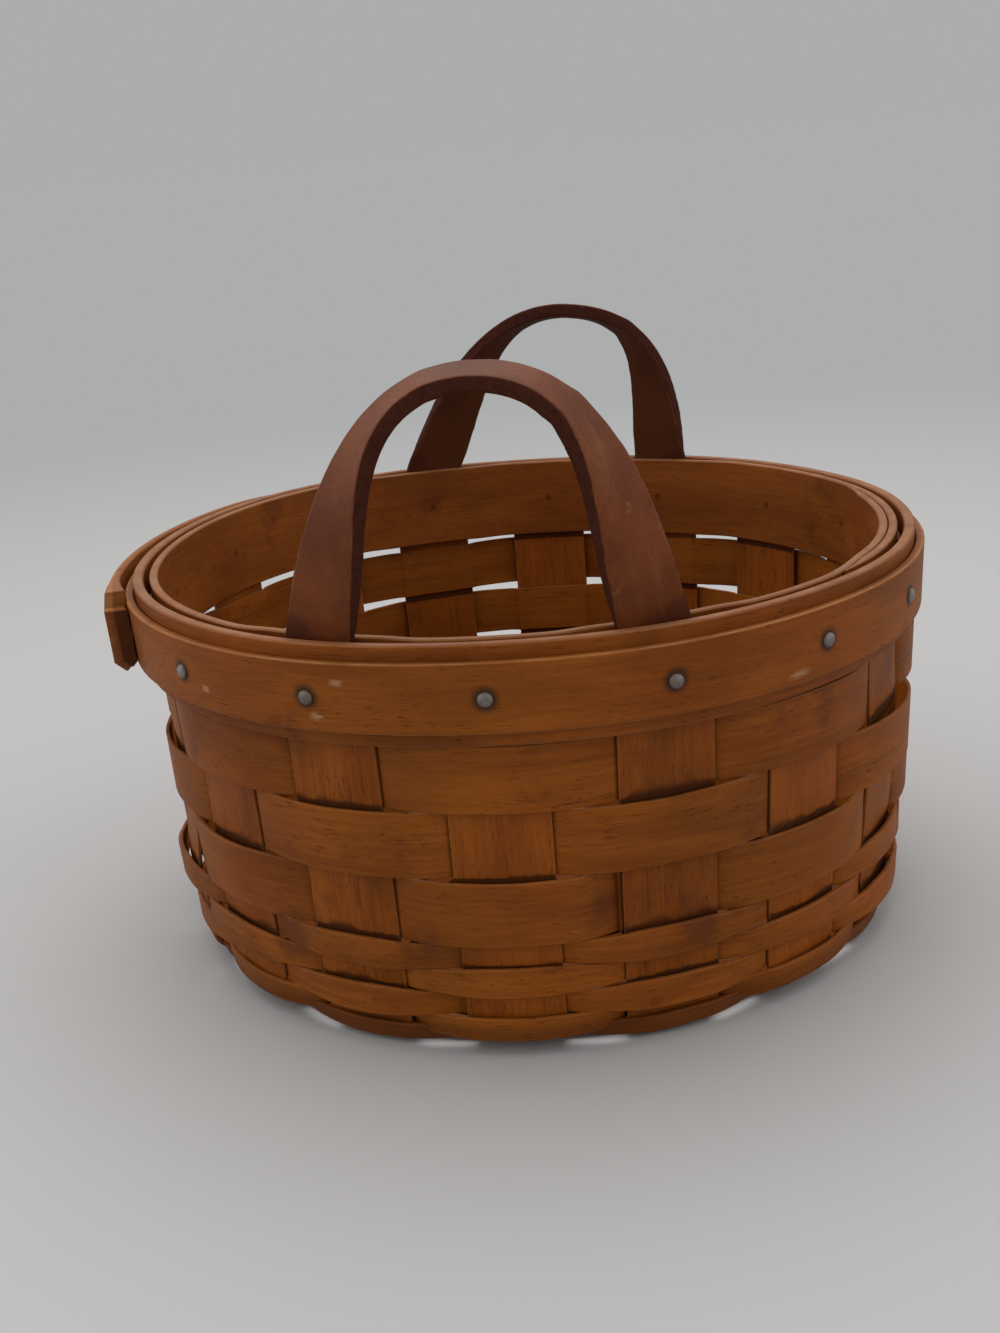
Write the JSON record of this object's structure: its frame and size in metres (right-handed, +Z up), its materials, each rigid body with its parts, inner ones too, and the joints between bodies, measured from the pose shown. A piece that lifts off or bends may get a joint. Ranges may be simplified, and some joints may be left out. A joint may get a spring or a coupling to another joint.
{
  "type": "round splint basket",
  "caption": "Small round basket woven of flat wooden splints, with a tacked banded rim and two upright leather ear handles.",
  "frame": {"origin": "middle of the base, on the surface that the basket stands on", "axes": "+Z up; the front ear is at -Y and the back ear at +Y; +X to the right of someone facing the front ear"},
  "size_m": [0.1886, 0.1858, 0.1397],
  "materials": {
    "splint_wood": "stained maple splint, satin, rough split grain",
    "weaver_wood": "stained maple weaver, satin",
    "band_wood": "stained maple band, satin, worn edges",
    "ear_leather": "brown strap leather, smooth face, dark cut edges",
    "tack_steel": "dull grey steel tack"
  },
  "bodies": {
    "root": {"splint_1": "splint_wood", "splint_2": "splint_wood", "splint_3": "splint_wood", "splint_4": "splint_wood", "splint_5": "splint_wood", "splint_6": "splint_wood", "splint_7": "splint_wood", "splint_8": "splint_wood", "wall_weaver_1": "weaver_wood", "wall_weaver_2": "weaver_wood", "wall_weaver_3": "weaver_wood", "foot_weaver_1": "weaver_wood", "foot_weaver_2": "weaver_wood", "foot_weaver_3": "weaver_wood", "corner_weaver_1": "weaver_wood", "corner_weaver_2": "weaver_wood", "base_weaver_1": "weaver_wood", "base_weaver_2": "weaver_wood", "base_weaver_3": "weaver_wood", "base_weaver_4": "weaver_wood", "base_weaver_5": "weaver_wood", "base_weaver_6": "weaver_wood", "base_weaver_7": "weaver_wood", "inner_band": "band_wood", "rim_hoop": "band_wood", "outer_band": "band_wood", "ear_front": "ear_leather", "ear_back": "ear_leather", "tack_01": "tack_steel", "tack_02": "tack_steel", "tack_03": "tack_steel", "tack_04": "tack_steel", "tack_05": "tack_steel", "tack_06": "tack_steel", "tack_07": "tack_steel", "tack_08": "tack_steel", "tack_09": "tack_steel", "tack_10": "tack_steel", "tack_11": "tack_steel", "tack_12": "tack_steel", "tack_13": "tack_steel", "tack_14": "tack_steel", "tack_15": "tack_steel", "tack_16": "tack_steel"}
  },
  "joints": []
}
